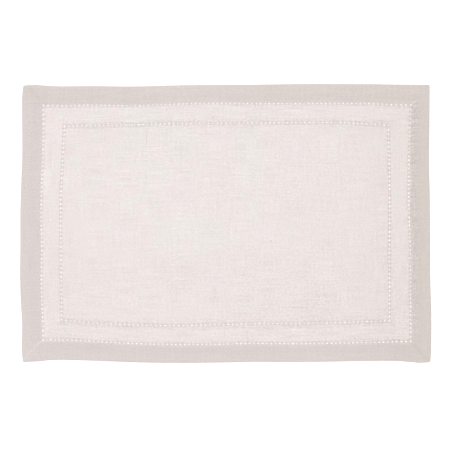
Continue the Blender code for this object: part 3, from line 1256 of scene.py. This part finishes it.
# A thread: its plies, their turns, and how they and its fuzz show; the grooves between plies are
# painted darker, as painted shade
PLIES, PLY_TURNS, PLY_SHADE = 2, 9, -0.10
FUZZ_TONE = 0.5
FUZZ_ROUND, FUZZ_ALONG, FUZZ_SEED, FUZZ_DETAIL = 6, 14, 3, 2
PLY_HEIGHT, PLY_RELIEF = 0.5, (0.4, 0.00005)
THREAD_ROUGHNESS = 0.85


def spun_thread(name, solid):
    nodes = Nodes(bpy.data.materials.new(name))
    round_it, place = nodes.split(nodes.add("UVMap", {}, uv_map="OFBake")[0])
    place = nodes.scaled(place, SHADE_BANDS)
    along = nodes.math("FRACT", place)
    turn = nodes.plus(nodes.scaled(round_it, PLIES), nodes.scaled(along, PLY_TURNS))
    ply = nodes.math("SINE", nodes.scaled(turn, 2 * pi))
    far_round, far_along = nodes.scaled(round_it, FUZZ_ROUND), nodes.scaled(along, FUZZ_ALONG)
    fuzz = nodes.noise(far_round, far_along, FUZZ_SEED, FUZZ_DETAIL)
    # Painted shade in the grooves between the plies
    tone = nodes.plus(nodes.scaled(ply, PLY_SHADE, solid), nodes.scaled(fuzz, FUZZ_TONE))
    colour = nodes.mix(tone, BACKLIT_OPEN_LINEN, SOLID_LINEN)
    # Painted shade, darker in the bands of the map toward the right end
    painted_shade = nodes.scaled(nodes.math("FLOOR", place), 1 / (SHADE_BANDS - 1))
    colour = nodes.tint(painted_shade, colour, RIGHT_END_SHADE)
    relief = nodes.bump(nodes.scaled(ply, PLY_HEIGHT), *PLY_RELIEF)
    values = {"Base Color": colour, "Roughness": THREAD_ROUGHNESS, "Normal": relief}
    return nodes.shade(values | FABRIC)


# ---- studio ----

PICTURE_SPAN = 0.5347  # metres across the picture
PICTURE_X, PICTURE_Y = 0.3, -3.2  # its middle on the board
LENS, SENSOR = 200, 36
FAR = 200  # metres that the camera sees
FLOOR_HALF = 40  # metres
FLOOR_DROP = 0.0001  # metres below the mat
FLOOR = {"Base Color": (0.88, 0.88, 0.88, 1), "Roughness": 0.9, "Specular IOR Level": 0}
WHITE = (1, 1, 1, 1)
LAMP_LEAN = (-5, -6)  # degrees from straight above
LAMP_WIDTH = 24  # degrees
BACKDROP = 1.1  # brightness beyond the floor


def build_floor():
    starts = [side.start for side in SIDES]
    corners = [(FLOOR_HALF * x, FLOOR_HALF * y, 0) for x, y in starts]
    material = Nodes(bpy.data.materials.new("studio_floor")).shade(FLOOR)
    floor = add_mesh("studio_floor", corners, [(0, 1, 2, 3)], [material])
    floor.location.z = -FLOOR_DROP


def build_light():
    """A broad lamp almost straight above, and an even fill from all round."""
    lamp = bpy.data.lights.new("overhead", "SUN")
    lamp.energy = (LIGHT - FILL) * pi
    lamp.angle = radians(LAMP_WIDTH)
    add_object("overhead", lamp).rotation_euler = (*map(radians, LAMP_LEAN), 0)

    nodes = Nodes(bpy.data.worlds.new("studio"), "Background")
    bpy.context.scene.world = nodes.shade({"Color": WHITE, "Strength": FILL})
    backdrop = nodes.add("Background", {"Color": WHITE, "Strength": BACKDROP})[0]
    to_camera = nodes.add("LightPath", {})["Is Camera Ray"]
    choice = nodes.add("MixShader", {0: to_camera, 1: nodes.shader.outputs[0], 2: backdrop})[0]
    nodes.join(nodes.tree.nodes["World Output"].inputs, {"Surface": choice})


def build_camera():
    """Straight above the mat, from far off, as in the photograph."""
    eye = bpy.data.cameras.new("overhead_camera")
    eye.lens, eye.sensor_width, eye.clip_end = LENS, SENSOR, FAR
    camera = add_object("overhead_camera", eye)
    x = (PICTURE_X - MIDDLE_X) * MM
    y = (PICTURE_Y - MIDDLE_Y) * MM
    camera.location = (x, y, PICTURE_SPAN * LENS / SENSOR)
    bpy.context.scene.camera = camera


def build_mat():
    """The cloth and the three pieces of thread on it. The numbers are seeds."""
    rows = [(OUTER, punch(OUTER, 5)), (INNER, punch(INNER, 9))]
    cloth = build_cloth(rows, [linen("linen_folded", False), linen("linen_single", True)])
    outer_thread = spun_thread("outer_row_thread", OUTER_THREADS)
    inner_thread = spun_thread("inner_row_thread", INNER_THREADS)
    outer_bars, inner_bars = (bars_of(row, sides) for row, sides in rows)
    return [
        cloth,
        bar_strands(outer_bars, 21).piece("outer_row_bars", outer_thread),
        bar_strands(inner_bars, 22).piece("inner_row_bars", inner_thread),
        sewing(rows, 31).piece("hemstitching", outer_thread),
    ]


def build():
    build_camera()
    build_light()
    build_floor()
    bpy.context.scene.view_settings.view_transform = "Standard"
    cloth, *threads = build_mat()
    for piece in (cloth, *threads):
        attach(piece, "root")
    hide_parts("cloth")


build()
